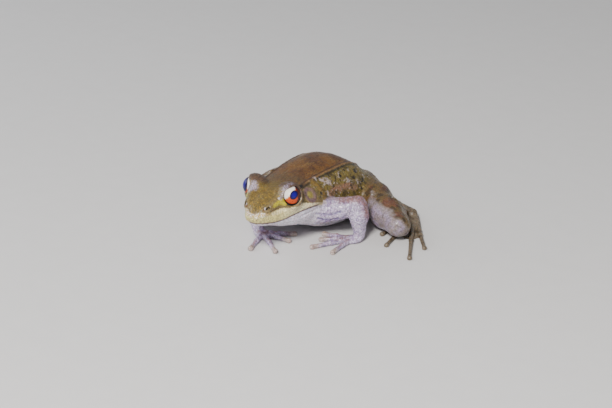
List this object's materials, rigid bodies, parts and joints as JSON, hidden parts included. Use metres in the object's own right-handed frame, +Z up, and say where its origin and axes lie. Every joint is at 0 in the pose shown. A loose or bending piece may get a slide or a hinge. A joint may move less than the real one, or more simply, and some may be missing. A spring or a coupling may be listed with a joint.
{
  "type": "sitting olive frog model",
  "caption": "Life-size still model of an olive frog sitting with its hands spread and its hind legs folded.",
  "frame": {"origin": "middle of the model's box, on the floor that it sits on", "axes": "+Z up, -Y the way the frog faces, +X towards its left side"},
  "size_m": [0.0604, 0.0594, 0.0204],
  "materials": {
    "head_skin": "moist olive-brown skin, cream lip",
    "back_skin": "moist brown skin with a pale lilac belly",
    "arm_skin": "moist pale lilac skin",
    "leg_skin": "moist brown skin with darker bars",
    "foot_skin": "moist grey-brown skin",
    "eye": "wet polished eye"
  },
  "bodies": {
    "root": {"head": "head_skin", "torso": "back_skin", "eye_left": "eye", "eye_right": "eye", "upper_arm_left": "arm_skin", "upper_arm_right": "arm_skin", "forearm_left": "arm_skin", "forearm_right": "arm_skin", "hand_left": "arm_skin", "hand_right": "arm_skin", "thigh_left": "leg_skin", "thigh_right": "leg_skin", "shank_left": "leg_skin", "shank_right": "leg_skin", "tarsus_left": "foot_skin", "tarsus_right": "foot_skin", "foot_left": "foot_skin", "foot_right": "foot_skin"}
  },
  "joints": []
}
